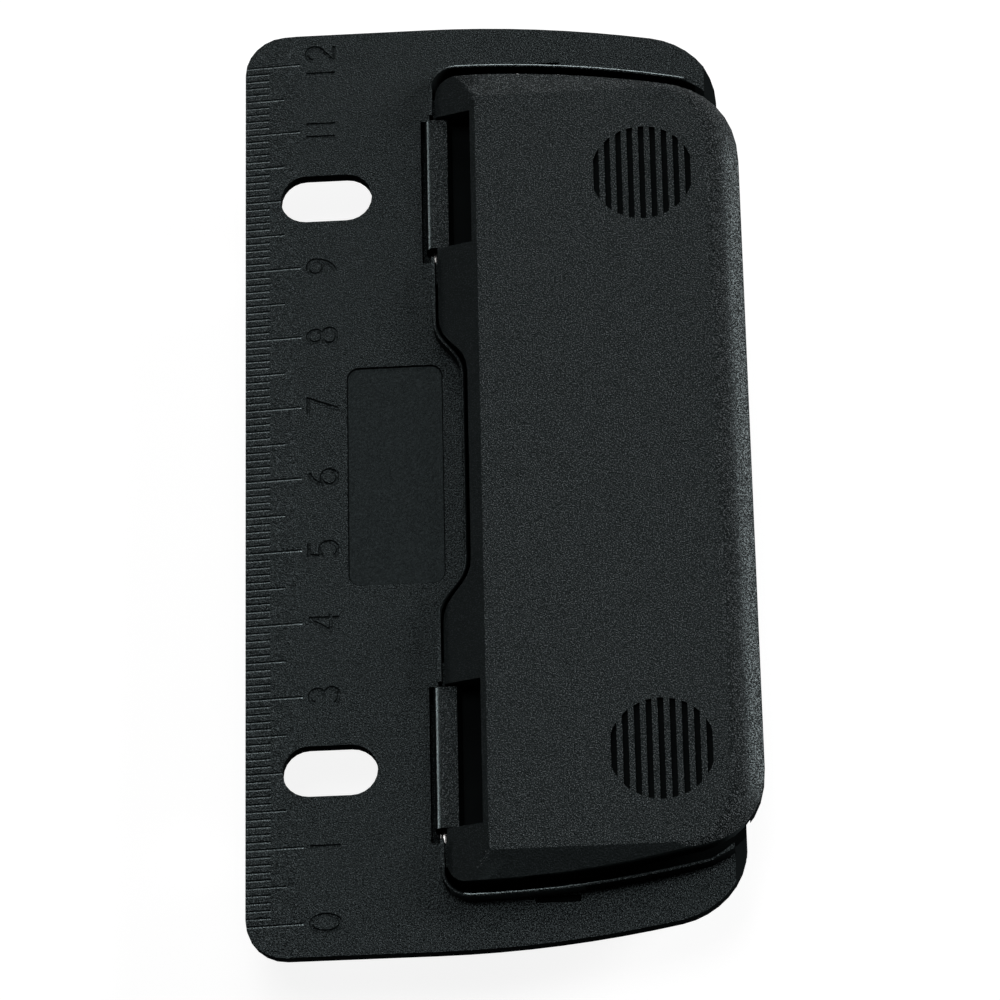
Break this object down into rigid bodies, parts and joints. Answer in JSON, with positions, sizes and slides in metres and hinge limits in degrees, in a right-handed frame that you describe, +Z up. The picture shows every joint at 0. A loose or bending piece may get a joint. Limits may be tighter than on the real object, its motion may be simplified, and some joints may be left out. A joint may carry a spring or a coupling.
{
  "type": "mini hole punch",
  "caption": "Flat pocket hole punch on a ruler plate with binder slots, with a hinged press lever, sprung punch pins and a slide-out chip tray.",
  "frame": {"origin": "centre of the box that holds the punch, on the table it rests on", "axes": "+X from the ruler's edge to the lever's free edge, +Y along the ruler to its 12 cm end, +Z up"},
  "size_m": [0.065, 0.1286, 0.0128],
  "materials": {
    "plate_plastic": "black ABS with a fine spark-eroded grain",
    "lever_plastic": "black ABS with a coarser spark-eroded grain",
    "body_plastic": "black ABS, plain moulded",
    "bright_steel": "drawn steel wire, bright",
    "ground_steel": "hardened and ground steel",
    "spring_steel": "drawn spring wire",
    "zinc_steel": "zinc-plated steel"
  },
  "bodies": {
    "base": {"ruler_plate": "plate_plastic", "die_body": "body_plastic", "hinge_pin_lower": "bright_steel", "punch_guide_lower": "ground_steel", "return_spring_lower": "spring_steel", "die_plate_lower": "ground_steel", "die_rivet_lower_1": "zinc_steel", "die_rivet_lower_2": "zinc_steel", "hinge_pin_upper": "bright_steel", "punch_guide_upper": "ground_steel", "return_spring_upper": "spring_steel", "die_plate_upper": "ground_steel", "die_rivet_upper_1": "zinc_steel", "die_rivet_upper_2": "zinc_steel", "body_screw_1": "zinc_steel", "body_screw_2": "zinc_steel", "body_screw_3": "zinc_steel", "body_screw_4": "zinc_steel"},
    "lever": {"lever": "lever_plastic"},
    "punch_lower": {"punch_pin_lower": "ground_steel"},
    "punch_upper": {"punch_pin_upper": "ground_steel"},
    "tray": {"chip_tray": "body_plastic"}
  },
  "joints": [
    {"name": "lever_press", "type": "hinge", "parent": "base", "child": "lever", "pos_m": [-0.00755, 0, 0.0084], "axis": [0, 1, 0], "range_deg": [0, 4.17], "stiffness_Nm_per_rad": 0.5, "springref_deg": -0.46},
    {"name": "punch_slide_lower", "type": "slide", "parent": "base", "child": "punch_lower", "axis": [0, 0, -1], "range_m": [0, 0.002], "stiffness_N_per_m": 1, "springref_m": -0.0115, "deforming": ["return_spring_lower"]},
    {"name": "punch_slide_upper", "type": "slide", "parent": "base", "child": "punch_upper", "axis": [0, 0, -1], "range_m": [0, 0.002], "stiffness_N_per_m": 1, "springref_m": -0.0115, "deforming": ["return_spring_upper"]},
    {"name": "tray_slide", "type": "slide", "parent": "base", "child": "tray", "axis": [0, -1, 0], "range_m": [0, 0.06]}
  ],
  "couplings": [
    {"joint": "lever_press", "follows": "punch_slide_lower", "rad_per_m": 36.432},
    {"joint": "punch_slide_upper", "follows": "punch_slide_lower", "ratio": 1}
  ]
}
